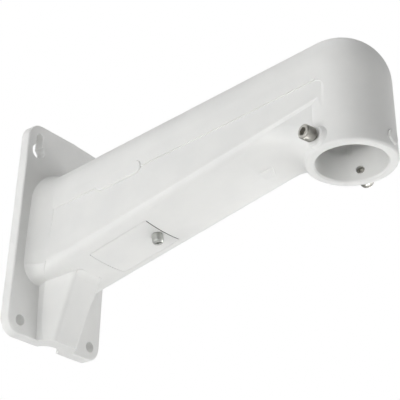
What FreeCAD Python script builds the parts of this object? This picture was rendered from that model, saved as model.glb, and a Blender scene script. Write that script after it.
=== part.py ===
# Wall bracket for a dome camera: a white die casting with a flat wall plate, a hollow arm and a
# head with a round socket, plus the wiring hatch's cover and the screws.
# Millimetres. X points out from the wall, Y across the plate, Z up. The origin is the middle of
# the plate's back face, on the wall.
import FreeCAD, Part
import math
import os

os.makedirs("parts", exist_ok=True)

# Overall sizes
PLATE_W = 97.0
PLATE_H = 182.6
REACH = 305.6

# Wall plate: a shell, slightly thicker along its middle line
PLATE_EDGE_T = 8.7
PLATE_MID_T = 10.4
PLATE_CORNER_R = 13.0
PLATE_SKIN_T = 4.5
PLATE_RIM_W = 4.5
PLATE_ROUND = 0.8
RIB_Z = (28.0, -30.0)
HOLE_Y = 37.2
HOLE_Z = 80.0
HOLE_R = 4.25
KEY_R = 6.5
KEY_DROP = 13.6
KEY_SLOT_R = 3.5
HOLE_BOSS_R = 8.0
NOTCH_R = 10.0
NOTCH_DEPTH = 8.9

# Arm: half-round top, flat sides, crowned underside; the top rises gently and the underside more
ARM_R = 30.6
TOP_Z0 = 53.2
TOP_RISE = 0.087
UNDER_Z0 = -48.4
UNDER_RISE = 0.221
LOW_HALF = 31.7
CROWN_R = 130.0
CORNER_R = 9.0
WALL_T = 4.7
FLOOR_T = 6.2

# Root flare: how far it stands out on the plate at heights up the side, and its length along the arm
FLARE_LOW = 4.0
FLARE_SIDE = [(-38.6, 7.4), (-28.0, 8.2), (-14.0, 8.1), (2.6, 8.7), (23.4, 8.3)]
FLARE_LENGTH = 2.0
FLARE_FADE = 0.9

# Side panel: the lower part of each side is set in a little at its upper line and leans outwards
PANEL_DEPTH = 1.0
PANEL_LEAN = 0.038
PANEL_END_STEP = 2.4
PANEL_Z0 = 8.7
PANEL_RISE = 0.085
PANEL_FADE_X = (19.0, 46.0)
PANEL_END_X = 275.0
PANEL_END_R = 8.0

# Bare name pad, standing a little over the side that shows
PAD_X = (72.0, 117.0)
PAD_Z = 17.9
PAD_H = 11.0
PAD_RAISE = 0.8
PAD_EDGE = 0.5

# Head: a vertical cylinder with the socket, joined to the arm by a tight bend
BEND_R = 7.5
MOUTH_Z = -21.0
BORE_R = 23.9
BORE_TOP_Z = 42.0
COLLAR_ROWS = [(0, 200, 229, -17), (14, 200, 231, -17), (21, 201, 235, -17), (25.5, 207, 240, -16), (28.6, 228, 250, -11)]
MOUTH_ROUND = 2.0
MOUTH_CHAMFER = 1.0

# Locking screws: M6 socket-head screws with tall heads, in bosses on both sides of the head
LOCK_ANGLE = 105.0
LOCK_Z = -12.0
LOCK_SEAT_R = 32.4
LOCK_GAP = 2.4
LOCK_HEAD_R = 5.0
LOCK_HEAD_H = 7.6
LOCK_LENGTH = 10.0
LOCK_THREAD_R = 3.0
LOCK_HEX = 5.0
LOCK_BOSS_R = 6.5
LOCK_BOSS_BASE_R = 9.5

# Blank boss on the front of the head
FRONT_BOSS_R = 5.0
FRONT_BOSS_H = 1.3
FRONT_BOSS_Z = -11.5

# Low wedge on the underside near the head
BUMP_X0 = 201.5
BUMP_ENDS = [(-1.0, 214.0), (9.5, 209.0)]
BUMP_SLOPE = 0.15

# Hollow inside the arm, and the throat that opens it into the socket
PASSAGE_HALF = 24.5
PASSAGE_END_X = 252.0
THROAT_HALF = 21.5
THROAT_Z = 0.0
THROAT_DEPTH = 2.1

# Conduit hump below the arm's root: a hollow wedge with a flat sloping front
HUMP_FRONT_X = 21.3
HUMP_SLOPE = 0.358
HUMP_FRONT_HALF = 11.3
HUMP_ROOT_HALF = 18.6
HUMP_WIDEN = 0.042
HUMP_WALL = 3.6
HUMP_ROUND = 4.0
HUMP_FOOT = (1.9, 6.5)
HUMP_TOP_ROUND = 4.0

# Wiring hatch in the underside
HATCH_X = (59.5, 115.3)
HATCH_HALF = 20.0
HATCH_GAP = 0.35
HATCH_LEDGE = 4.0
HATCH_SCREW_LEDGE = 14.0
HATCH_CORNER_R = 1.6
COVER_T = 3.2
GASKET_T = 0.9
SCREW_X = 109.2
SCREW_HEAD_R = 4.3
SCREW_HEAD_H = 6.4
SCREW_HEX = 3.0
SCREW_NECK_R = 1.5
SCREW_THREAD_R = 2.0
SCREW_THREAD_L = 5.6
SCREW_BOSS_R = 5.0
SCREW_BOSS_H = 6.5
SPOT_R = 5.0
SPOT_W = 0.3
WASHER_W = -0.5
COVER_HOLE_R = 2.3
RING_R = 3.6
RING_T = 0.9

HEAD_X = REACH - ARM_R
V = FreeCAD.Vector


def save(shape, name):
    shape.exportStep(os.path.join("parts", name + ".step"))
    print(name, "valid", shape.isValid(), "solids", len(shape.Solids), "cm3", round(shape.Volume / 1000, 2))


def frame(z0, rise):
    """A sloping frame in the XZ plane: u along the slope, v across, w square to the slope."""
    angle = math.atan(rise)
    along = V(math.cos(angle), 0, math.sin(angle))
    square = V(-math.sin(angle), 0, math.cos(angle))
    start = V(0, 0, z0)

    def point(u, v, w):
        return start + along * u + V(0, v, 0) + square * w
    return point, along, square


def polygon(points):
    return Part.Face(Part.makePolygon(points + [points[0]]))


def side_prism(outline, y0, y1):
    """Extrudes an outline of (x, z) pairs across the bracket."""
    face = polygon([V(x, y0, z) for x, z in outline])
    return face.extrude(V(0, y1 - y0, 0))


def box(x0, x1, y0, y1, z0, z1):
    return Part.makeBox(x1 - x0, y1 - y0, z1 - z0, V(x0, y0, z0))


def cylinder(base, axis, radius, length):
    return Part.makeCylinder(radius, length, base, axis)


def top_z(x):
    return TOP_Z0 + TOP_RISE * x


def under_z(x):
    return UNDER_Z0 + UNDER_RISE * x


def panel_z(x):
    return PANEL_Z0 + PANEL_RISE * x


def round_top_face(point, u, radius, drop):
    """Section with a half-round top of the given radius and straight sides below."""
    arc = Part.Arc(point(u, -radius, 0), point(u, 0, radius), point(u, radius, 0)).toShape()
    lines = [point(u, radius, 0), point(u, radius, -drop), point(u, -radius, -drop), point(u, -radius, 0)]
    return Part.Face(Part.Wire([arc] + Part.makePolygon(lines).Edges))


def crowned_face(point, u, half, corner, rise, lift=0.0):
    """Section with a crowned bottom, rounded corners and straight sides above."""
    span = CROWN_R - corner
    turn = math.asin((half - corner) / span)
    centre_w = CROWN_R - span * math.cos(turn)

    def crown(a):
        return point(u, CROWN_R * math.sin(a), lift + CROWN_R - CROWN_R * math.cos(a))

    def edge(side, a):
        return point(u, side * (half - corner + corner * math.sin(a)), lift + centre_w - corner * math.cos(a))
    middle = (turn + math.pi / 2) / 2
    parts = [Part.Arc(edge(-1, math.pi / 2), edge(-1, middle), crown(-turn)).toShape(),
             Part.Arc(crown(-turn), crown(0), crown(turn)).toShape(),
             Part.Arc(crown(turn), edge(1, middle), edge(1, math.pi / 2)).toShape()]
    lines = [edge(1, math.pi / 2), point(u, half, rise), point(u, -half, rise), edge(-1, math.pi / 2)]
    return Part.Face(Part.Wire(parts + Part.makePolygon(lines).Edges))


def between(table, t):
    for (t0, v0), (t1, v1) in zip(table, table[1:]):
        if t <= t1:
            return v0 + (v1 - v0) * (t - t0) / (t1 - t0)
    return table[-1][1]


# Sloping frames of the arm's top centreline and of its underside
TOP_ANGLE = math.atan(TOP_RISE)
AXIS_Z0 = TOP_Z0 - ARM_R / math.cos(TOP_ANGLE)
top_point, top_along, top_square = frame(AXIS_Z0, TOP_RISE)
under_point, under_along, under_square = frame(UNDER_Z0, UNDER_RISE)
UNDER_COS = math.cos(math.atan(UNDER_RISE))
BEND_X = HEAD_X - BEND_R
BEND_Z = AXIS_Z0 + TOP_RISE * BEND_X - BEND_R / math.cos(TOP_ANGLE)


def arm_and_head():
    """The outer form of arm and head, solid inside."""
    # the bend begins at the section square to the arm through the bend's centre
    bend_u = BEND_X * math.cos(TOP_ANGLE) + (BEND_Z - AXIS_Z0) * math.sin(TOP_ANGLE)
    upper = round_top_face(top_point, 0, ARM_R, 25.0).extrude(top_along * bend_u)
    section = round_top_face(top_point, bend_u, ARM_R, BEND_R)
    bend = section.revolve(V(BEND_X, 0, BEND_Z), V(0, 1, 0), 90 + math.degrees(TOP_ANGLE))
    cheeks = box(BEND_X - 4, HEAD_X, -ARM_R, ARM_R, panel_z(BEND_X) - 12, BEND_Z)
    length = HEAD_X / math.cos(math.atan(UNDER_RISE)) + 2
    lower = crowned_face(under_point, -4, LOW_HALF, CORNER_R, 150).extrude(under_along * length)
    limit = side_prism([(0, -60), (HEAD_X, -60), (HEAD_X, panel_z(HEAD_X)), (0, panel_z(0))], -50, 50)
    arm = upper.fuse([bend, cheeks, lower.common(limit)]).removeSplitter()
    arm = arm.common(box(4, REACH + 1, -50, 50, -90, 120))
    return arm.fuse([head_tube(), collar_web()]).removeSplitter()


def underside_at(x, y):
    """Height of the underside, with its crown and its rounded corners."""
    y = abs(y)
    span = CROWN_R - CORNER_R
    knee = LOW_HALF - CORNER_R
    if y < CROWN_R * knee / span:
        lift = CROWN_R - math.sqrt(CROWN_R * CROWN_R - y * y)
    else:
        lift = CROWN_R - math.sqrt(span * span - knee * knee) - math.sqrt(CORNER_R * CORNER_R - (y - knee) ** 2)
    return under_z(x) + lift / UNDER_COS


def hollow(c, corner, d):
    """Hollow curve from c to d that is tangent to the lines from the corner to both."""
    curve = Part.BezierCurve()
    curve.setPoles([c, corner, d])
    return curve.toShape()


def collar_section(y, start, knee, foot):
    """Hollow curve from the underside down to the collar, in a plane along the arm."""
    x = HEAD_X - math.sqrt(ARM_R * ARM_R - y * y) + 1
    corner = V(knee, y, underside_at(knee, y) + 0.03)
    c = V(x, y, foot)
    d = V(start, y, underside_at(start, y) + 0.03)
    roof = V(x + 2, y, underside_at(x, y) + 2.5)
    lines = [d, d + V(0, 0, 2.5), roof, V(x + 2, y, foot), c]
    return Part.Wire([hollow(c, corner, d)] + Part.makePolygon(lines).Edges)


def collar_web():
    """The wide hollow curve from the arm's underside down to the head's collar."""
    left = [collar_section(-y, *row) for y, *row in reversed(COLLAR_ROWS)]
    right = [collar_section(y, *row) for y, *row in COLLAR_ROWS[1:]]
    return Part.makeLoft(left + right, True, False)


def turned(points):
    """Solid of revolution about the head's axis through (radius, height) points."""
    outline = [V(HEAD_X + r, 0, z) for r, z in points]
    return polygon(outline).revolve(V(HEAD_X, 0, 0), V(0, 0, 1), 360)


def quarter(r, z, radius, steps):
    """Points of a quarter round that starts at height z and ends at radius r."""
    turns = [math.pi / 2 * k / steps for k in range(steps + 1)]
    return [(r - radius + radius * math.sin(a), z + radius - radius * math.cos(a)) for a in turns]


def head_tube():
    """The head's round outside with its rounded mouth, up to the bend."""
    rim = quarter(ARM_R, MOUTH_Z, MOUTH_ROUND, 3)
    return turned([(0, MOUTH_Z)] + rim + [(ARM_R, BEND_Z), (0, BEND_Z)])


def plate_blank():
    """The plate's outer form, with its front face pitched towards the middle line."""
    half = PLATE_W / 2
    edge = PLATE_EDGE_T
    outline = [V(0, -half, 0), V(edge, -half, 0), V(PLATE_MID_T, 0, 0), V(edge, half, 0), V(0, half, 0)]
    slab = polygon([p + V(0, 0, -PLATE_H / 2) for p in outline]).extrude(V(0, 0, PLATE_H))
    trim = box(-1, 20, -half, half, -PLATE_H / 2, PLATE_H / 2)
    corners = [e for e in trim.Edges if abs(e.tangentAt(e.FirstParameter).x) > 0.99]
    slab = slab.common(trim.makeFillet(PLATE_CORNER_R, corners))
    front = [e for e in slab.Edges if e.BoundBox.XMin > PLATE_EDGE_T - 0.1 and abs(e.CenterOfMass.y) > 2]
    rounded = slab.makeChamfer(PLATE_ROUND, front)
    return rounded if rounded.isValid() else slab


def plate_face(y):
    """Height of the plate's front face over the wall at a distance y from the middle."""
    return PLATE_MID_T - (PLATE_MID_T - PLATE_EDGE_T) * abs(y) / (PLATE_W / 2)


def hollow_corner(corner, out, along, leg, length, depth):
    """Hollow wedge in a corner: tangent to the arm after a length, standing out on the plate by a leg."""
    c = corner + out * leg
    d = corner + along * length
    normal = out - along * out.dot(along)
    normal.normalize()
    chord = c - d
    radius = chord.dot(chord) / (2 * chord.dot(normal))
    centre = d + normal * radius
    bisector = (c - centre) + (d - centre)
    bisector.normalize()
    arc = Part.Arc(c, centre + bisector * radius, d).toShape()
    inner = d - out * depth
    lines = [d, inner, V(6, inner.y, inner.z), V(6, c.y, c.z), c]
    return Part.Wire([arc] + Part.makePolygon(lines).Edges)


def flare_section(y, z, ny, nz, leg, tilt):
    """Hollow corner between plate and arm, square to the arm's outline at (y, z)."""
    out = V(0, ny, nz)
    corner = V(plate_face(y) - 0.03, y, z) - out * 0.03
    along = V(math.cos(tilt), -math.sin(tilt) * ny, -math.sin(tilt) * nz)
    return hollow_corner(corner, out, along, leg, leg * FLARE_LENGTH, 2.5)


def side_y(z):
    """Half width of the arm near the plate, at a height below its half-round top."""
    lean = PANEL_LEAN * (panel_z(PLATE_MID_T) - z)
    return min(ARM_R + max(lean, 0.0), LOW_HALF)


def root_flare():
    """The smooth run of the arm's right side into the plate: wide at mid height, fading upwards."""
    x = 9.5
    span = CROWN_R - CORNER_R
    turn = math.asin((LOW_HALF - CORNER_R) / span)
    tilt = math.atan(UNDER_RISE)
    corner_z = under_z(x) + CROWN_R - span * math.cos(turn)
    axis_z = top_z(x) - ARM_R
    below = []
    for angle, leg in ((math.radians(5.4), 2.0), (turn, FLARE_LOW)):
        z = under_z(x) + CROWN_R - CROWN_R * math.cos(angle)
        below.append((CROWN_R * math.sin(angle), z, math.sin(angle), -math.cos(angle), leg, tilt))
    corner = []
    for k in range(5):
        a = turn + (math.pi / 2 - turn) * k / 4
        y = LOW_HALF - CORNER_R + CORNER_R * math.sin(a)
        leg = FLARE_LOW + (FLARE_SIDE[0][1] - FLARE_LOW) * k / 4
        corner.append((y, corner_z - CORNER_R * math.cos(a), math.sin(a), -math.cos(a), leg, tilt * math.cos(a)))
    side = []
    for k in range(6):
        z = corner_z + (axis_z - corner_z) * k / 5
        side.append((side_y(z), z, 1, 0, between(FLARE_SIDE, z), 0.0))
    top = []
    for k in range(6):
        a = math.radians(84) * k / 5
        leg = FLARE_SIDE[-1][1] * (1 - k / 5) + FLARE_FADE * k / 5
        top.append((ARM_R * math.cos(a), axis_z + ARM_R * math.sin(a), math.cos(a), math.sin(a), leg, -TOP_ANGLE * math.sin(a)))
    solids = []
    for rows, ruled in ((below, True), (corner, False), (side, True), (top, False)):
        solids.append(Part.makeLoft([flare_section(*row) for row in rows], True, ruled))
    return solids


def both_sides(shapes):
    return shapes + [s.mirror(V(0, 0, 0), V(0, 1, 0)) for s in shapes]


def hump_outline(z, inset, back):
    """Trapezoid of the hump at one height: wide at the plate, narrow at its sloping front."""
    front = HUMP_FRONT_X + HUMP_SLOPE * (z + PLATE_H / 2) - inset
    front_half = HUMP_FRONT_HALF + HUMP_WIDEN * (z + PLATE_H / 2) - inset * 0.8
    root_half = HUMP_ROOT_HALF + HUMP_WIDEN * (z + PLATE_H / 2) - inset * 1.1
    root_x = PLATE_MID_T - 0.8
    flank = (root_half - front_half) / (front - root_x)
    knee = root_half + flank * (root_x - 6)
    return [V(back, -knee, z), V(6, -knee, z), V(front, -front_half, z), V(front, front_half, z), V(6, knee, z), V(back, knee, z)]


def hump_solid(z0, z1, inset, back):
    wires = [Part.makePolygon(p + [p[0]]) for p in (hump_outline(z0, inset, back), hump_outline(z1, inset, back))]
    return Part.makeLoft(wires, True, True)


def hump():
    solid = hump_solid(-PLATE_H / 2, -30, 0, 4)
    ridges = []
    for e in solid.Edges:
        b = e.BoundBox
        if b.ZLength > 20 and b.XMin > 15:
            ridges.append(e)
    solid = solid.makeFillet(HUMP_ROUND, ridges)
    below = side_prism([(-1, -100), (60, -100), (60, under_z(60) + 4), (-1, under_z(0) + 4)], -50, 50)
    return solid.common(below)


def foot_section(z):
    """Hollow corner between the plate and the hump's right flank, at one height."""
    outline = hump_outline(z, 0, 4)
    knee = outline[4]
    flank = outline[3] - knee
    flank.normalize()
    corner = knee + flank * ((plate_face(knee.y) - 0.03 - knee.x) / flank.x) - V(0, 0.03, 0)
    return hollow_corner(corner, V(0, 1, 0), flank, HUMP_FOOT[0], HUMP_FOOT[1], 1.5)


def hump_foot():
    return Part.makeLoft([foot_section(PLATE_ROUND - PLATE_H / 2), foot_section(-38)], True, True)


def hump_top():
    """Hollow corner between the hump's sloping front and the arm's underside."""
    x = HUMP_FRONT_X + HUMP_SLOPE * (UNDER_Z0 + PLATE_H / 2)
    x = x / (1 - HUMP_SLOPE * UNDER_RISE)
    down = V(-HUMP_SLOPE, 0, -1)
    down.normalize()
    half = HUMP_FRONT_HALF + HUMP_WIDEN * (under_z(x) + PLATE_H / 2)
    rows = []
    for y, leg in ((-half, 0.4), (3 - half, HUMP_TOP_ROUND), (half - 3, HUMP_TOP_ROUND), (half, 0.4)):
        corner = V(x, y, under_z(x) + 0.05)
        c = corner + down * leg
        d = corner + under_along * leg
        lines = [d, d + V(0, 0, 2), c - V(3, 0, 0) + V(0, 0, 2), c - V(3, 0, 0), c]
        rows.append(Part.Wire([hollow(c, corner, d)] + Part.makePolygon(lines).Edges))
    return Part.makeLoft(rows, True, True)


def panel_plan(z):
    """Outline of what is taken off beside the arm's left side, at one height."""
    fade0, fade1 = PANEL_FADE_X
    end = PANEL_END_X
    rows = []
    for x, depth in ((-20, 0), (fade0, 0), (fade1, PANEL_DEPTH), (end - PANEL_END_STEP, PANEL_DEPTH)):
        rows.append(V(x, ARM_R - depth + PANEL_LEAN * (panel_z(x) - z), z))
    return rows + [V(end, ARM_R + 0.02, z), V(end, 45, z), V(-20, 45, z)]


def side_panels():
    """The set-in lower parts of the sides."""
    end = PANEL_END_X
    tall = side_prism([(-20, panel_z(-20)), (end, panel_z(end)), (end, MOUTH_Z + 1), (225, MOUTH_Z + 1), (-20, -75)], 20, 50)
    rim = [e for e in tall.Edges if e.BoundBox.YLength > 20 and e.BoundBox.XMin > end - 1 and e.BoundBox.ZMin > 0]
    tall = tall.makeFillet(PANEL_END_R, rim)
    plans = [Part.makePolygon(p + [p[0]]) for p in (panel_plan(-90), panel_plan(90))]
    tool = tall.common(Part.makeLoft(plans, True, True))
    return tool, tool.mirror(V(0, 0, 0), V(0, 1, 0))


def name_pad():
    """The bare raised pad on the left side, with round ends."""
    x0, x1 = PAD_X
    half = PAD_H / 2
    face_y = -ARM_R - PAD_RAISE
    pad = box(x0 + half, x1 - half, face_y, -26, -half, half)
    pad = pad.fuse([cylinder(V(x, face_y, 0), V(0, 1, 0), half, -26 - face_y) for x in (x0 + half, x1 - half)]).removeSplitter()
    pad = pad.makeChamfer(PAD_EDGE, [e for e in pad.Edges if e.BoundBox.YMax < face_y + 0.1])
    pad.rotate(V((x0 + x1) / 2, 0, 0), V(0, 1, 0), -math.degrees(math.atan(PANEL_RISE)))
    pad.translate(V(0, 0, PAD_Z))
    return pad


def on_head(angle, z, radius):
    """Point on the head's outside, or off it, at an angle from straight ahead."""
    a = math.radians(angle)
    return V(HEAD_X + radius * math.cos(a), radius * math.sin(a), z)


def outward(angle):
    a = math.radians(angle)
    return V(math.cos(a), math.sin(a), 0)


def lock_boss(side):
    angle = side * LOCK_ANGLE
    slope = (LOCK_BOSS_BASE_R - LOCK_BOSS_R) / (LOCK_SEAT_R - 28.0)
    foot = LOCK_BOSS_R + slope * (LOCK_SEAT_R - 28.0)
    cone = Part.makeCone(foot, LOCK_BOSS_R, LOCK_SEAT_R - 28.0, on_head(angle, LOCK_Z, 28.0), outward(angle))
    return cone.common(cylinder(V(HEAD_X, 0, MOUTH_Z + 0.6), V(0, 0, 1), 60, 60))


def floor_face(half, corner, rise):
    """Section with a flat floor, rounded corners and straight sides above, inside the arm."""
    d = corner * (1 - math.sqrt(0.5))
    w = FLOOR_T
    left = Part.Arc(under_point(-4, -half, w + corner), under_point(-4, d - half, w + d), under_point(-4, corner - half, w)).toShape()
    right = Part.Arc(under_point(-4, half - corner, w), under_point(-4, half - d, w + d), under_point(-4, half, w + corner)).toShape()
    floor = Part.makeLine(under_point(-4, corner - half, w), under_point(-4, half - corner, w))
    corners = [under_point(-4, half, w + corner), under_point(-4, half, rise), under_point(-4, -half, rise)]
    rest = Part.makePolygon(corners + [under_point(-4, -half, w + corner)])
    return Part.Face(Part.Wire([left, floor, right] + rest.Edges))


def passage():
    """The hollow inside the arm, and the narrower throat that opens it into the socket."""
    shift = (ARM_R - PASSAGE_HALF - WALL_T) / math.cos(TOP_ANGLE)
    section = round_top_face(top_point, -4, PASSAGE_HALF, 120)
    section.translate(V(0, 0, shift))
    above = section.extrude(top_along * 300)
    above = above.common(floor_face(PASSAGE_HALF, 6.0, 160).extrude(under_along * 300))
    hollow = above.common(box(-1, PASSAGE_END_X, -60, 60, -90, 120))
    half = THROAT_HALF
    z0 = under_z(PASSAGE_END_X) + FLOOR_T
    tunnel = box(PASSAGE_END_X - 2, HEAD_X, -half, half, z0, BORE_TOP_Z)
    tunnel = tunnel.fuse(cylinder(V(PASSAGE_END_X - 2, 0, BORE_TOP_Z), V(1, 0, 0), half, HEAD_X - PASSAGE_END_X + 2))
    sill = box(HEAD_X - 30, HEAD_X, -half, half, THROAT_Z, BORE_TOP_Z)
    sill = sill.common(cylinder(V(HEAD_X, 0, THROAT_Z), V(0, 0, 1), BORE_R + THROAT_DEPTH, 60))
    return hollow.fuse([tunnel, sill])


def bore():
    """The round socket with its domed end and its broken edge."""
    z = MOUTH_Z
    r = BORE_R
    c = MOUTH_CHAMFER
    dome = [(r * math.cos(math.radians(a)), BORE_TOP_Z + r * math.sin(math.radians(a))) for a in (0, 20, 40, 60)]
    return turned([(0, z - 1), (r + c + 1, z - 1), (r, z + c)] + dome + [(0, dome[-1][1])])


def plate_back():
    """The shallow hollow of the plate's back, around its hole bosses, rim and ribs."""
    half_w = PLATE_W / 2 - PLATE_RIM_W
    half_h = PLATE_H / 2 - PLATE_RIM_W
    hollow = box(-1, PLATE_EDGE_T - PLATE_SKIN_T, -half_w, half_w, -half_h, half_h)
    corners = [e for e in hollow.Edges if e.BoundBox.XLength > 3]
    hollow = hollow.makeFillet(PLATE_CORNER_R - PLATE_RIM_W, corners)
    keep = []
    for side in (-1, 1):
        keep.append(cylinder(V(-1, side * HOLE_Y, -HOLE_Z), V(1, 0, 0), HOLE_BOSS_R, 12))
        keep.append(cylinder(V(-1, side * HOLE_Y, HOLE_Z), V(1, 0, 0), HOLE_BOSS_R, 12))
        keep.append(cylinder(V(-1, side * HOLE_Y, HOLE_Z - KEY_DROP), V(1, 0, 0), KEY_R + 3, 12))
        keep.append(box(-1, 12, side * HOLE_Y - 6.5, side * HOLE_Y + 6.5, HOLE_Z - KEY_DROP, HOLE_Z))
        for z in RIB_Z:
            keep.append(box(-1, 12, min(side * 20, side * 47), max(side * 20, side * 47), z - 1.25, z + 1.25))
    half = PASSAGE_HALF + 3
    keep.append(box(-1, 12, -half, half, under_z(0) + FLOOR_T - 3, AXIS_Z0))
    keep.append(cylinder(V(-1, 0, top_z(0) - WALL_T + 3 - half), V(1, 0, 0), half, 12))
    return hollow.cut(keep[0].fuse(keep[1:]))


def mounting_holes():
    tools = []
    for side in (-1, 1):
        y = side * HOLE_Y
        tools.append(cylinder(V(-1, y, -HOLE_Z), V(1, 0, 0), HOLE_R, 14))
        tools.append(cylinder(V(-1, y, HOLE_Z - KEY_DROP), V(1, 0, 0), KEY_R, 14))
        tools.append(cylinder(V(-1, y, HOLE_Z), V(1, 0, 0), KEY_SLOT_R, 14))
        tools.append(box(-1, 13, y - KEY_SLOT_R, y + KEY_SLOT_R, HOLE_Z - KEY_DROP, HOLE_Z))
    return tools


def under_box(u0, u1, half, w0, w1):
    """Box in the underside's own frame: u along it, w into the arm."""
    corners = [under_point(u, -half, w0) for u in (u0, u1)] + [under_point(u1, half, w0), under_point(u0, half, w0)]
    return polygon(corners).extrude(under_square * (w1 - w0))


def under_rod(u, radius, w0, w1):
    return cylinder(under_point(u, 0, w0), under_square, radius, w1 - w0)


def rounded_block(solid, radius):
    """Rounds the four edges that run into the arm."""
    edges = [e for e in solid.Edges if abs(e.tangentAt(e.FirstParameter).dot(under_square)) > 0.99]
    return solid.makeFillet(radius, edges)


HATCH_U = (HATCH_X[0] / UNDER_COS, HATCH_X[1] / UNDER_COS)
OPEN_U = (HATCH_U[0] + HATCH_LEDGE, HATCH_U[1] - HATCH_SCREW_LEDGE)
OPEN_HALF = HATCH_HALF - HATCH_LEDGE
SCREW_U = SCREW_X / UNDER_COS
LEDGE_W = COVER_T + GASKET_T


def hatch_tools():
    recess = rounded_block(under_box(HATCH_U[0], HATCH_U[1], HATCH_HALF, -4, LEDGE_W), HATCH_CORNER_R)
    opening = rounded_block(under_box(OPEN_U[0], OPEN_U[1], OPEN_HALF, 0, 16), 3.0)
    return [recess, opening, under_rod(SCREW_U, SCREW_THREAD_R, 0, 20)]


def underside_wedge():
    """The low wedge on the underside near the head, with its end cut askew."""
    x0 = BUMP_X0
    rows = []
    for y, x1 in BUMP_ENDS:
        low = under_z(x1) - BUMP_SLOPE * (x1 - x0)
        points = [V(x0, y, under_z(x0) + 1), V(x0, y, under_z(x0)), V(x1, y, low), V(x1 + 0.5, y, under_z(x1) + 1)]
        rows.append(Part.makePolygon(points + [points[0]]))
    return Part.makeLoft(rows, True, True)


def casting():
    body = arm_and_head()
    body = body.cut(list(side_panels()))
    body = body.fuse([plate_blank(), hump(), hump_top(), name_pad()] + both_sides(root_flare() + [hump_foot()]))
    front = cylinder(on_head(0, FRONT_BOSS_Z, 25), V(1, 0, 0), FRONT_BOSS_R, ARM_R - 25 + FRONT_BOSS_H)
    ends = [e for e in front.Edges if e.BoundBox.XMin > HEAD_X + ARM_R]
    body = body.fuse([lock_boss(-1), lock_boss(1), front.makeChamfer(0.6, ends), underside_wedge()])
    body = body.cut([passage(), bore(), plate_back()])
    rod = under_rod(SCREW_U, SCREW_BOSS_R, LEDGE_W, LEDGE_W + SCREW_BOSS_H)
    body = body.fuse(rod)
    tools = mounting_holes() + hatch_tools()
    for side in (-1, 1):
        tools.append(cylinder(on_head(side * LOCK_ANGLE, LOCK_Z, 15), outward(side * LOCK_ANGLE), LOCK_THREAD_R, 40))
    tools.append(hump_solid(-PLATE_H / 2 + HUMP_WALL, -36, HUMP_WALL, -1))
    tools.append(cylinder(V(NOTCH_DEPTH - NOTCH_R, 0, -PLATE_H / 2 - 1), V(0, 0, 1), NOTCH_R, 12))
    return body.cut(tools)


def access_cover():
    g = HATCH_GAP
    u0, u1 = HATCH_U
    length = u1 - u0 - 2 * g
    slab = crowned_face(under_point, u0 + g, 29, CORNER_R, 20).extrude(under_along * length)
    plan = rounded_block(under_box(u0 + g, u1 - g, HATCH_HALF - g, -1, COVER_T), HATCH_CORNER_R - g)
    cover = slab.common(plan)
    # hook at the wall end: a foot through the opening and a toe behind its edge
    a = OPEN_U[0]
    foot = under_box(a + 0.4, a + 3.6, 9, COVER_T - 0.5, FLOOR_T + 2.6)
    toe = under_box(a - 2.4, a + 3.6, 9, FLOOR_T + 0.7, FLOOR_T + 2.6)
    rib = [under_box(OPEN_U[0] + 10, OPEN_U[1] - 3, h, COVER_T - 0.5, COVER_T + 1.6) for h in (12.0, 9.5)]
    cover = cover.fuse([foot, toe, rib[0].cut(under_box(OPEN_U[0] + 12, OPEN_U[1] - 5, 10.0, COVER_T - 1, COVER_T + 3))])
    cover = cover.cut([under_rod(SCREW_U, SPOT_R, -3, SPOT_W),
                       under_rod(SCREW_U, COVER_HOLE_R, -1, COVER_T + 1),
                       under_rod(SCREW_U, RING_R, COVER_T - RING_T - 0.1, COVER_T + 1)])
    return cover


def cover_gasket():
    g = 0.6
    outer = rounded_block(under_box(HATCH_U[0] + g, HATCH_U[1] - g, HATCH_HALF - g, COVER_T, LEDGE_W), HATCH_CORNER_R)
    inner = rounded_block(under_box(OPEN_U[0] + 0.3, OPEN_U[1] - 0.3, OPEN_HALF - 0.3, COVER_T - 1, LEDGE_W + 1), 2.5)
    return outer.cut([inner, under_rod(SCREW_U, RING_R + 0.5, COVER_T - 1, LEDGE_W + 1)])


def hex_recess(base, axis, across, depth):
    """Hexagonal socket sunk from a head's end face at base, against the axis."""
    r = across / math.sqrt(3)
    up = V(0, 1, 0) if abs(axis.y) < 0.5 else V(0, 0, 1)
    s = axis.cross(up)
    s.normalize()
    t = axis.cross(s)
    ring = [base + s * (r * math.cos(math.radians(60 * k))) + t * (r * math.sin(math.radians(60 * k))) for k in range(6)]
    return polygon(ring).extrude(axis * -depth)


def cover_screw():
    top = WASHER_W - SCREW_HEAD_H
    head = under_rod(SCREW_U, SCREW_HEAD_R, top, WASHER_W)
    rim = [e for e in head.Edges if e.Curve.TypeId == "Part::GeomCircle"]
    rim = [e for e in rim if (e.CenterOfMass - under_point(SCREW_U, 0, top)).Length < 0.1]
    head = head.makeChamfer(0.5, rim)
    neck = under_rod(SCREW_U, SCREW_NECK_R, WASHER_W, LEDGE_W + 0.3)
    thread = under_rod(SCREW_U, SCREW_THREAD_R, LEDGE_W + 0.3, LEDGE_W + SCREW_THREAD_L)
    body = head.fuse([neck, thread])
    face = under_point(SCREW_U, 0, top - 0.01)
    return body.cut(hex_recess(face, under_square * -1, SCREW_HEX, 2.6))


def cover_screw_washer():
    return under_rod(SCREW_U, SCREW_HEAD_R - 0.1, WASHER_W, SPOT_W).cut(under_rod(SCREW_U, SCREW_THREAD_R + 0.2, -3, 3))


def cover_screw_retainer():
    low = COVER_T - RING_T - 0.1
    ring = under_rod(SCREW_U, RING_R - 0.1, low, low + RING_T)
    return ring.cut(under_rod(SCREW_U, SCREW_NECK_R + 0.05, low - 1, low + 3))


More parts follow.
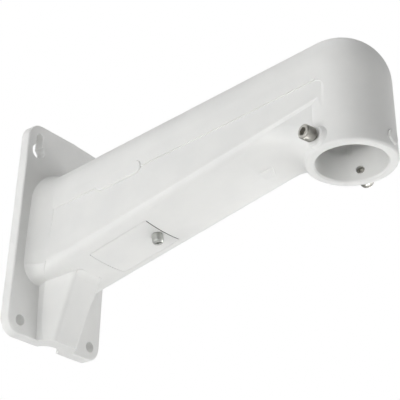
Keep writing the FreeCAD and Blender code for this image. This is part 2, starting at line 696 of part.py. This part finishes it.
def locking_screw(side):
    out = outward(side * LOCK_ANGLE)
    seat = LOCK_SEAT_R + LOCK_GAP
    head = cylinder(on_head(side * LOCK_ANGLE, LOCK_Z, seat), out, LOCK_HEAD_R, LOCK_HEAD_H)
    face = on_head(side * LOCK_ANGLE, LOCK_Z, seat + LOCK_HEAD_H)
    rim = [e for e in head.Edges if e.Curve.TypeId == "Part::GeomCircle" and (e.CenterOfMass - face).Length < 0.1]
    head = head.makeChamfer(0.6, rim)
    shank = cylinder(on_head(side * LOCK_ANGLE, LOCK_Z, seat - LOCK_LENGTH), out, LOCK_THREAD_R, LOCK_LENGTH)
    tip = [e for e in shank.Edges if (e.CenterOfMass - on_head(side * LOCK_ANGLE, LOCK_Z, seat - LOCK_LENGTH)).Length < 0.1]
    shank = shank.makeChamfer(0.8, tip)
    return head.fuse(shank).cut(hex_recess(face + out * 0.01, out, LOCK_HEX, 3.0))


save(casting(), "bracket_casting")
save(access_cover(), "access_cover")
save(cover_gasket(), "cover_gasket")
save(cover_screw(), "cover_screw")
save(cover_screw_washer(), "cover_screw_washer")
save(cover_screw_retainer(), "cover_screw_retainer")
save(Part.makeCompound([locking_screw(-1), locking_screw(1)]), "locking_screws")
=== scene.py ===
import math
import bmesh
import bpy
from mathutils import Matrix, Vector

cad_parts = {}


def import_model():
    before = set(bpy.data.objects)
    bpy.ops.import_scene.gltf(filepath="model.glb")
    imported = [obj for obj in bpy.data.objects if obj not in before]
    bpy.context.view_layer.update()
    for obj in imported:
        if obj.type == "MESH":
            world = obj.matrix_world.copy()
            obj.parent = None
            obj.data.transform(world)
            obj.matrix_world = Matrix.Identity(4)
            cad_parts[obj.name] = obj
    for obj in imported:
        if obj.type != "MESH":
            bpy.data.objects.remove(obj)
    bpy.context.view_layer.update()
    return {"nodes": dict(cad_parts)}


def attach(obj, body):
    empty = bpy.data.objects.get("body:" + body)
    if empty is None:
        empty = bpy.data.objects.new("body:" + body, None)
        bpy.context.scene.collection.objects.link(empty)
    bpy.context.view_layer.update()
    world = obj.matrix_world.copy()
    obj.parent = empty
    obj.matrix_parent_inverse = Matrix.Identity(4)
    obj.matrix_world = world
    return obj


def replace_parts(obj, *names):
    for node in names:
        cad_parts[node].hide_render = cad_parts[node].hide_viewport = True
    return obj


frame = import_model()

MM = 0.001
WELD = 0.001 * MM

# Head and locking screws, in millimetres and degrees: X out from the wall, Z up
HEAD_X = 275.0
LOCK_ANGLE = 105.0
LOCK_Z = -12.0
LOCK_SEAT = 34.8

# Sloped underside of the arm: its height at the wall, its rise and its crown
UNDER_Z0 = -48.4
UNDER_RISE = 0.221
CROWN_R = 130.0
SLOPE = math.atan(UNDER_RISE)
ALONG = Vector((math.cos(SLOPE), 0, math.sin(SLOPE)))
BELOW = Vector((math.sin(SLOPE), 0, -math.cos(SLOPE)))

# Hatch in the underside, with its ends and its screw measured along X
SCREW_X = 109.2
WASHER_OUT = 0.5
HATCH_ENDS = (59.5, 115.3)
HATCH_GAP = 0.35
END_CUT = 0.5
FOAM_HALF = 18.4
FOAM_BACK = 3.1
FOAM_CHAMFER = 0.1
FOAM_STEPS = 32
CLEARANCE = 0.02
INNER_END, OUTER_END = [x / math.cos(SLOPE) for x in HATCH_ENDS]
COVER_END = OUTER_END - HATCH_GAP - END_CUT

# Screws: steps and fine details, in millimetres and radians
SIDES = 96
STEPS_PER_PITCH = 8
THREAD_DEPTH = 0.61
THREAD_FLANK = 2.4
KNURL_DEPTH = 0.16
TIP_HOLE = 2.2
TIP_CONE = 0.4
CLOSED_R = 0.2
DOME_HEIGHT = 1.9
DOME_REACH = 1.7
DOME_ANGLE = math.radians(75)
DOME_STEPS = 8
SLOT_DEPTH = 1.3
SLOT_MARGIN = 1.3
SLOT_TURN = math.radians(60)
SHARP_ANGLE = math.radians(32)

# Studio, in metres and watts
FLOOR_HALF = 6.0
FLOOR_Z = -0.75
ARM_MIDDLE = Vector((0.13, 0, 0))
LIGHT_DISTANCE = 1.5
LIGHT_SIZE = 1.0
LIGHTS = (
    ("left_low", (0, -0.7, -0.7), 132.0),
    ("right_low", (0, 0.7, -0.7), 133.0),
    ("left_behind", (-0.4, -0.7, -0.7), 14.5),
    ("right_front", (0.7, 0.7, 0), 9.5),
    ("left", (0, -1, 0), 5.5),
    ("above", (0, 0, 1), 8.5),
    ("high_behind", (-0.82, -0.33, 0.47), 5.5),
)

# Camera, in degrees and millimetres
CAMERA_AZIMUTH = 38.70
CAMERA_ELEVATION = -28.14
CAMERA_ROLL = 1.02
CAMERA_DISTANCE = 697.95
CAMERA_TARGET = Vector((149.33, 0, -7.2))
CAMERA_LENS = 86.25


# Node materials

def add(tree, kind, **values):
    node = tree.nodes.new(kind)
    for key, value in values.items():
        if key in node.inputs:
            node.inputs[key].default_value = value
        else:
            setattr(node, key, value)
    return node


def new_material(name, color, roughness, metallic=0.0):
    mat = bpy.data.materials.new(name)
    mat.use_nodes = True
    tree = mat.node_tree
    shader = tree.nodes["Principled BSDF"]
    shader.inputs["Base Color"].default_value = (*color, 1)
    shader.inputs["Roughness"].default_value = roughness
    shader.inputs["Metallic"].default_value = metallic
    mat.diffuse_color = (*color, 1)
    coords = add(tree, "ShaderNodeTexCoord").outputs["Object"]
    return mat, tree, shader, coords


def noise(tree, coords, scale, detail=3.0):
    node = add(tree, "ShaderNodeTexNoise", Scale=scale, Detail=detail)
    tree.links.new(coords, node.inputs["Vector"])
    return node.outputs["Fac"]


def ramp(tree, value, source, result):
    """The value with the range source stretched to the range result."""
    node = add(tree, "ShaderNodeMapRange")
    tree.links.new(value, node.inputs["Value"])
    node.inputs["From Min"].default_value, node.inputs["From Max"].default_value = source
    node.inputs["To Min"].default_value, node.inputs["To Max"].default_value = result
    return node.outputs["Result"]


def tint(tree, shader, factor, first, second):
    """Base colour between two colours."""
    node = add(tree, "ShaderNodeMix", data_type="RGBA")
    tree.links.new(factor, node.inputs["Factor"])
    node.inputs["A"].default_value = (*first, 1)
    node.inputs["B"].default_value = (*second, 1)
    tree.links.new(node.outputs["Result"], shader.inputs["Base Color"])
    return node.outputs["Result"]


def bump(tree, shader, height, distance, strength, after=None):
    node = add(tree, "ShaderNodeBump", Strength=strength, Distance=distance)
    tree.links.new(height, node.inputs["Height"])
    if after is not None:
        tree.links.new(after, node.inputs["Normal"])
    tree.links.new(node.outputs["Normal"], shader.inputs["Normal"])
    return node.outputs["Normal"]


def shown(tree, lit, seen):
    """Shader that the camera sees as seen, and that acts on everything else as lit."""
    path = add(tree, "ShaderNodeLightPath")
    mix = add(tree, "ShaderNodeMixShader")
    tree.links.new(path.outputs["Is Camera Ray"], mix.inputs[0])
    tree.links.new(lit.outputs[0], mix.inputs[1])
    tree.links.new(seen.outputs[0], mix.inputs[2])
    return mix.outputs[0]


def powder_coat():
    """White powder coat: a fine orange peel over slightly uneven cast metal."""
    mat, tree, shader, coords = new_material("white_powder_coat", (0.80, 0.80, 0.785), roughness=0.5)
    shade = ramp(tree, noise(tree, coords, scale=38.0, detail=4.0), (0.35, 0.65), (0.0, 1.0))
    tint(tree, shader, shade, (0.785, 0.787, 0.775), (0.815, 0.815, 0.80))
    rough = ramp(tree, noise(tree, coords, scale=420.0), (0.3, 0.7), (0.45, 0.55))
    tree.links.new(rough, shader.inputs["Roughness"])
    fine = noise(tree, coords, scale=900.0, detail=2.0)
    peel = bump(tree, shader, fine, distance=0.00003, strength=0.6)
    coarse = noise(tree, coords, scale=60.0, detail=2.0)
    bump(tree, shader, coarse, distance=0.0001, strength=0.35, after=peel)
    shader.inputs["Specular IOR Level"].default_value = 0.4
    return mat


def turned_steel(name, dark, light):
    """Bare metal off the lathe, clouded and finely streaked."""
    mat, tree, shader, coords = new_material(name, dark, roughness=0.43, metallic=1.0)
    streak = noise(tree, coords, scale=1500.0, detail=2.0)
    rough = ramp(tree, streak, (0.3, 0.7), (0.38, 0.48))
    tree.links.new(rough, shader.inputs["Roughness"])
    cloud = ramp(tree, noise(tree, coords, scale=240.0), (0.3, 0.7), (0.0, 1.0))
    tint(tree, shader, cloud, dark, light)
    bump(tree, shader, streak, distance=0.00001, strength=0.25)
    return mat


def foam_rubber():
    """Black foam with open cells."""
    mat, tree, shader, coords = new_material("foam_rubber", (0.035, 0.035, 0.037), roughness=0.85)
    cells = noise(tree, coords, scale=2200.0, detail=4.0)
    tint(tree, shader, cells, (0.02, 0.02, 0.022), (0.06, 0.06, 0.06))
    bump(tree, shader, cells, distance=0.0001, strength=0.8)
    return mat


def moulded_plastic():
    """Off-white plastic with a moulded grain."""
    mat, tree, shader, coords = new_material("moulded_plastic", (0.75, 0.75, 0.72), roughness=0.5)
    grain = noise(tree, coords, scale=1800.0)
    tint(tree, shader, grain, (0.72, 0.72, 0.69), (0.78, 0.78, 0.75))
    bump(tree, shader, grain, distance=0.00002, strength=0.5)
    return mat


def floor_paper():
    """Pale paper that gives some light of its own and shows the camera its plain colour."""
    mat, tree, shader, coords = new_material("floor_paper", (0.86, 0.86, 0.85), roughness=0.8)
    color = tint(tree, shader, noise(tree, coords, scale=3.0), (0.85, 0.85, 0.84), (0.88, 0.88, 0.87))
    shader.inputs["Emission Color"].default_value = (1, 1, 1, 1)
    shader.inputs["Emission Strength"].default_value = 0.135
    seen = add(tree, "ShaderNodeEmission", Strength=0.85)
    tree.links.new(color, seen.inputs["Color"])
    tree.links.new(shown(tree, shader, seen), tree.nodes["Material Output"].inputs["Surface"])
    return mat


WHITE = powder_coat()
STEEL = turned_steel("turned_steel", (0.38, 0.37, 0.34), (0.54, 0.53, 0.49))
ZINC = turned_steel("zinc_plated_steel", (0.47, 0.48, 0.455), (0.58, 0.59, 0.565))
FOAM = foam_rubber()
PLASTIC = moulded_plastic()


# Objects and meshes

def new_object(name, data):
    obj = bpy.data.objects.new(name, data)
    bpy.context.scene.collection.objects.link(obj)
    return obj


def axes(x, y, z, origin):
    """Matrix with the given axes and origin."""
    matrix = Matrix((x, y, z)).transposed().to_4x4()
    matrix.translation = origin
    return matrix


def finished(name, bm, mat):
    """Object from a bmesh, smooth but for its sharp edges, that rides on the bracket."""
    mesh = bpy.data.meshes.new(name)
    bm.to_mesh(mesh)
    bm.free()
    # The normals that a CAD mesh brings along don't fit its cut
    if mesh.has_custom_normals:
        mesh.attributes.remove(mesh.attributes["custom_normal"])
    mesh.materials.append(mat)
    obj = new_object(name, mesh)
    for face in mesh.polygons:
        face.use_smooth = True
    mesh.set_sharp_from_angle(angle=SHARP_ANGLE)
    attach(obj, "root")
    return obj


def tube(name, sections, mat):
    """Closed mesh through equal rows of points, in millimetres."""
    bm = bmesh.new()
    rows = [[bm.verts.new(point * MM) for point in row] for row in sections]
    count = len(rows[0])
    for low, high in zip(rows, rows[1:]):
        for k in range(count):
            n = (k + 1) % count
            bm.faces.new((low[k], low[n], high[n], high[k]))
    bm.faces.new(list(reversed(rows[0])))
    bm.faces.new(rows[-1])
    bmesh.ops.recalc_face_normals(bm, faces=bm.faces)
    return finished(name, bm, mat)


# Radius rules: the radius of a ring at the angle t

def circle(r):
    return lambda t: r


def hexagon(across):
    """A hexagon of the given width across its flats."""
    sector = math.pi / 3

    def at(t):
        return across / 2 / math.cos((t + sector / 2) % sector - sector / 2)
    return at


def knurled(r):
    """Every second point of the ring is drawn in."""
    return lambda t: r - KNURL_DEPTH * (round(t * SIDES / (2 * math.pi)) % 2)


def slotted(rule, width, reach):
    """The rule widened by a slot that runs across the axis."""
    def at(t):
        edge = width / 2 / max(abs(math.sin(t - SLOT_TURN)), 0.001)
        return max(rule(t), min(reach, edge))
    return at


def thread(major, minor, pitch, h):
    """A flat-topped thread, cut across at the height h."""
    def at(t):
        f = (h / pitch - t / (2 * math.pi)) % 1.0
        return minor + (major - minor) * min(1.0, THREAD_FLANK * (0.5 - abs(f - 0.5)))
    return at


# Screws: rings of (height, radius rule) along an axis, with height 0 under the head

def rounds(*pairs):
    """Round rings from pairs of height and radius."""
    return [(h, circle(r)) for h, r in pairs]


def shank(length, r, pitch, plain=0.0):
    """From the hollow tip to the head, with no thread on the plain length below the head."""
    minor = r - THREAD_DEPTH * pitch
    tip = -length + r * 0.3
    rings = rounds((-length + TIP_HOLE + TIP_CONE, CLOSED_R), (-length + TIP_HOLE, r * 0.5))
    rings += rounds((-length, r * 0.6), (-length + 0.05, r * 0.72), (tip, minor))
    h = tip
    while h < -plain - 0.2:
        rings.append((h, thread(r, minor, pitch, h)))
        h += pitch / STEPS_PER_PITCH
    return rings + rounds((-plain - 0.15, minor), (-0.05, minor if plain else r))


def recess(height, across):
    """Bottom of the hexagon, with the drill's cone."""
    bottom = height * 0.55
    rings = [(bottom, hexagon(across)), (bottom - 0.05, hexagon(across * 0.92))]
    return rings + rounds((bottom - 0.7, CLOSED_R))


def knurled_head(r, height, across):
    """Rounded at both ends, knurled between them, and chamfered round its hexagon."""
    rings = rounds((0.0, r - 0.45), (0.12, r - 0.12), (0.35, r), (0.6, r))
    rings += [(0.75, knurled(r)), (height - 1.75, knurled(r))]
    rings += rounds((height - 1.6, r), (height - 0.75, r), (height - 0.5, r - 0.06))
    rings += rounds((height - 0.12, r - 0.42), (height, r - 0.62), (height, across * 0.64))
    rings += [(height - 0.18, hexagon(across + 0.1)), (height - 0.35, hexagon(across))]
    return rings + recess(height, across)


def domed_head(r, height, across, slot):
    """A skirt round the washer, a domed end, and a chamfered slot across the hexagon."""
    rings = rounds((0.0, r - 0.08), (-0.46, r - 0.08), (-0.48, r), (0.35, r))
    for k in range(DOME_STEPS + 1):
        a = DOME_ANGLE * k / DOME_STEPS
        rise = DOME_HEIGHT * math.sin(a) / math.sin(DOME_ANGLE)
        rings += rounds((height - DOME_HEIGHT + rise, r - DOME_REACH + DOME_REACH * math.cos(a)))
    reach = r - SLOT_MARGIN
    cross = slotted(hexagon(across), slot, reach)
    rings += [(height, slotted(hexagon(across + 0.3), slot + 0.2, reach)), (height - 0.15, cross)]
    rings += [(height - SLOT_DEPTH, cross), (height - SLOT_DEPTH - 0.05, hexagon(across - 0.04))]
    return rings + recess(height, across)


def turned(name, rings, origin, out, mat):
    """Steel piece through the rings, with height 0 at origin and rising along out."""
    z = out.normalized()
    x = Vector((0, 0, 1)).cross(z).normalized()
    matrix = axes(x, z.cross(x), z, origin)
    turns = [2 * math.pi * k / SIDES for k in range(SIDES)]
    sections = []
    for h, rule in rings:
        points = [Vector((rule(t) * math.cos(t), rule(t) * math.sin(t), h)) for t in turns]
        sections.append([matrix @ point for point in points])
    return tube(name, sections, mat)


def locking_screw(name, side):
    """M6 socket-head cap screw in the side of the head."""
    a = math.radians(LOCK_ANGLE * side)
    out = Vector((math.cos(a), math.sin(a), 0))
    seat = Vector((HEAD_X, 0, LOCK_Z)) + out * LOCK_SEAT
    rings = shank(length=10.0, r=3.0, pitch=1.0) + knurled_head(r=5.0, height=7.6, across=5.0)
    return turned(name, rings, seat, out, STEEL)


def cover_screw():
    """M4 captive screw, seated on its washer in the cover."""
    on_under = Vector((SCREW_X, 0, UNDER_Z0 + UNDER_RISE * SCREW_X))
    rings = shank(length=10.2, r=2.0, pitch=0.7, plain=4.9)
    rings += domed_head(r=4.3, height=6.4, across=2.4, slot=0.9)
    return turned("cover_screw_turned", rings, on_under + BELOW * WASHER_OUT, BELOW, ZINC)


# Hatch: the outer end of the cover is cut back, and strips of black foam fill the gaps to just below the
# underside, so that the gaps show as dark lines

def under(u, y, w):
    """Point on the sloped underside: u along it, w into the arm."""
    return Vector((0, 0, UNDER_Z0)) + ALONG * u + Vector((0, y, 0)) - BELOW * w


def hatch_cover():
    """The CAD cover with its joints welded, cut back at its outer end and closed again."""
    bm = bmesh.new()
    bm.from_mesh(frame["nodes"]["access_cover"].data)
    bmesh.ops.remove_doubles(bm, verts=bm.verts, dist=WELD)
    along = under(1, 0, 0) - under(0, 0, 0)
    cut = bmesh.ops.bisect_plane(bm, geom=bm.verts[:] + bm.edges[:] + bm.faces[:],
                                 plane_co=under(COVER_END, 0, 0) * MM, plane_no=along, clear_outer=True)
    rim = [e for e in cut["geom_cut"] if isinstance(e, bmesh.types.BMEdge)]
    bmesh.ops.triangle_fill(bm, use_beauty=True, edges=rim)
    bmesh.ops.recalc_face_normals(bm, faces=bm.faces)
    return finished("hatch_cover", bm, WHITE)


def foam_edge(name, u0, u1, depth):
    """Strip of foam across the arm, at the given depth below the crowned underside."""
    sections = []
    for k in range(FOAM_STEPS + 1):
        y = FOAM_HALF * (2 * k / FOAM_STEPS - 1)
        w = CROWN_R - math.sqrt(CROWN_R ** 2 - y ** 2) + depth
        outline = ((u0, FOAM_BACK), (u0, w + FOAM_CHAMFER), (u0 + FOAM_CHAMFER, w),
                   (u1 - FOAM_CHAMFER, w), (u1, w + FOAM_CHAMFER), (u1, FOAM_BACK))
        sections.append([under(u, y, v) for u, v in outline])
    return tube(name, sections, FOAM)


# Floor, light and camera

def floor():
    mesh = bpy.data.meshes.new("floor")
    corners = [(x * FLOOR_HALF, y * FLOOR_HALF, FLOOR_Z) for x, y in ((-1, -1), (1, -1), (1, 1), (-1, 1))]
    mesh.from_pydata(corners, [], [(0, 1, 2, 3)])
    mesh.materials.append(floor_paper())
    obj = new_object("floor", mesh)


def world():
    data = bpy.data.worlds.new("studio")
    bpy.context.scene.world = data
    data.use_nodes = True
    tree = data.node_tree
    tree.nodes.clear()
    lit = add(tree, "ShaderNodeBackground", Color=(1, 1, 1, 1), Strength=0.11)
    seen = add(tree, "ShaderNodeBackground", Color=(1, 1, 1, 1), Strength=1.0)
    out = add(tree, "ShaderNodeOutputWorld")
    tree.links.new(shown(tree, lit, seen), out.inputs[0])


def camera():
    data = bpy.data.cameras.new("camera")
    data.sensor_width = 36.0
    data.lens = CAMERA_LENS
    data.clip_start = 0.01
    az, el, roll = [math.radians(a) for a in (CAMERA_AZIMUTH, CAMERA_ELEVATION, CAMERA_ROLL)]
    back = Vector((math.sin(az) * math.cos(el), -math.cos(az) * math.cos(el), math.sin(el)))
    level = Vector((math.cos(az), math.sin(az), 0))
    upright = back.cross(level)
    right = level * math.cos(roll) + upright * math.sin(roll)
    up = upright * math.cos(roll) - level * math.sin(roll)
    obj = new_object("camera", data)
    obj.matrix_world = axes(right, up, back, (CAMERA_TARGET + back * CAMERA_DISTANCE) * MM)
    bpy.context.scene.camera = obj


def softbox(name, direction, watts):
    """A square soft light that faces the arm's middle from the given direction."""
    light = bpy.data.lights.new(name, "AREA")
    light.shape = "SQUARE"
    light.size = LIGHT_SIZE
    light.energy = watts
    obj = new_object(name, light)
    direction = Vector(direction).normalized()
    obj.location = ARM_MIDDLE + direction * LIGHT_DISTANCE
    obj.rotation_euler = direction.to_track_quat("Z", "Y").to_euler()
    obj.visible_camera = False


# The scene

def dress(name, mat):
    """Material on a node of the CAD frame."""
    mesh = frame["nodes"][name].data
    mesh.materials.clear()
    mesh.materials.append(mat)


dress("bracket_casting", WHITE)
dress("cover_gasket", FOAM)
dress("cover_screw_washer", FOAM)
dress("cover_screw_retainer", PLASTIC)

for name, side in (("locking_screw_near", -1), ("locking_screw_far", 1)):
    screw = locking_screw(name, side)
    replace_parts(screw, "locking_screws")
screw = cover_screw()
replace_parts(screw, "cover_screw")
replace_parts(hatch_cover(), "access_cover")
foam_edge("foam_edge_outer", COVER_END + CLEARANCE, OUTER_END - CLEARANCE, depth=0.15)
foam_edge("foam_edge_inner", INNER_END + CLEARANCE, INNER_END + HATCH_GAP - CLEARANCE, depth=0.3)

floor()
world()
camera()
for name, direction, watts in LIGHTS:
    softbox(name, direction, watts)
bpy.context.scene.view_settings.view_transform = "Standard"
